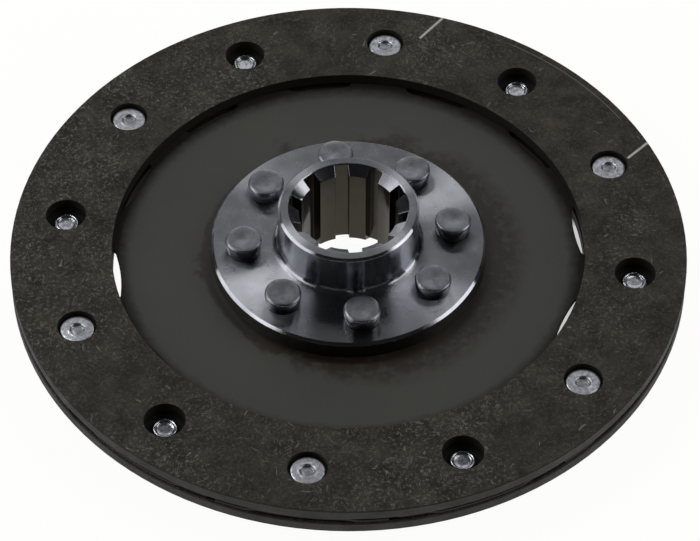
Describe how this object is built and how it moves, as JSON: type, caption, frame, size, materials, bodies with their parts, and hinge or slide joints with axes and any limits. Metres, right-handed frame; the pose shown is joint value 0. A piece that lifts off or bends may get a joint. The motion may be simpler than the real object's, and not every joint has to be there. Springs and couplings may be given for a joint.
{
  "type": "clutch disc",
  "caption": "Flat round clutch disc: riveted friction rings on both faces of a waved steel carrier plate, with a flanged hub that has a splined bore.",
  "frame": {"origin": "on the axis of the disc, at the lower end of the hub, which the disc stands on", "axes": "+Z along the axis, towards the long end of the hub; +X through a slot of the carrier plate and a hub rivet"},
  "size_m": [0.2, 0.2, 0.0314],
  "materials": {
    "lining": "moulded organic friction material, matt",
    "plate": "cold-rolled sheet, blackened, matt",
    "hub": "turned steel, satin",
    "hub_rivet": "pressed steel, dark satin",
    "lining_rivet": "pressed light alloy, dull"
  },
  "bodies": {
    "root": {"upper_lining": "lining", "lower_lining": "lining", "carrier_plate": "plate", "hub": "hub", "hub_rivet_1": "hub_rivet", "hub_rivet_2": "hub_rivet", "hub_rivet_3": "hub_rivet", "hub_rivet_4": "hub_rivet", "hub_rivet_5": "hub_rivet", "hub_rivet_6": "hub_rivet", "hub_rivet_7": "hub_rivet", "hub_rivet_8": "hub_rivet", "upper_lining_rivet_1": "lining_rivet", "upper_lining_rivet_2": "lining_rivet", "upper_lining_rivet_3": "lining_rivet", "upper_lining_rivet_4": "lining_rivet", "upper_lining_rivet_5": "lining_rivet", "upper_lining_rivet_6": "lining_rivet", "lower_lining_rivet_1": "lining_rivet", "lower_lining_rivet_2": "lining_rivet", "lower_lining_rivet_3": "lining_rivet", "lower_lining_rivet_4": "lining_rivet", "lower_lining_rivet_5": "lining_rivet", "lower_lining_rivet_6": "lining_rivet"}
  },
  "joints": []
}
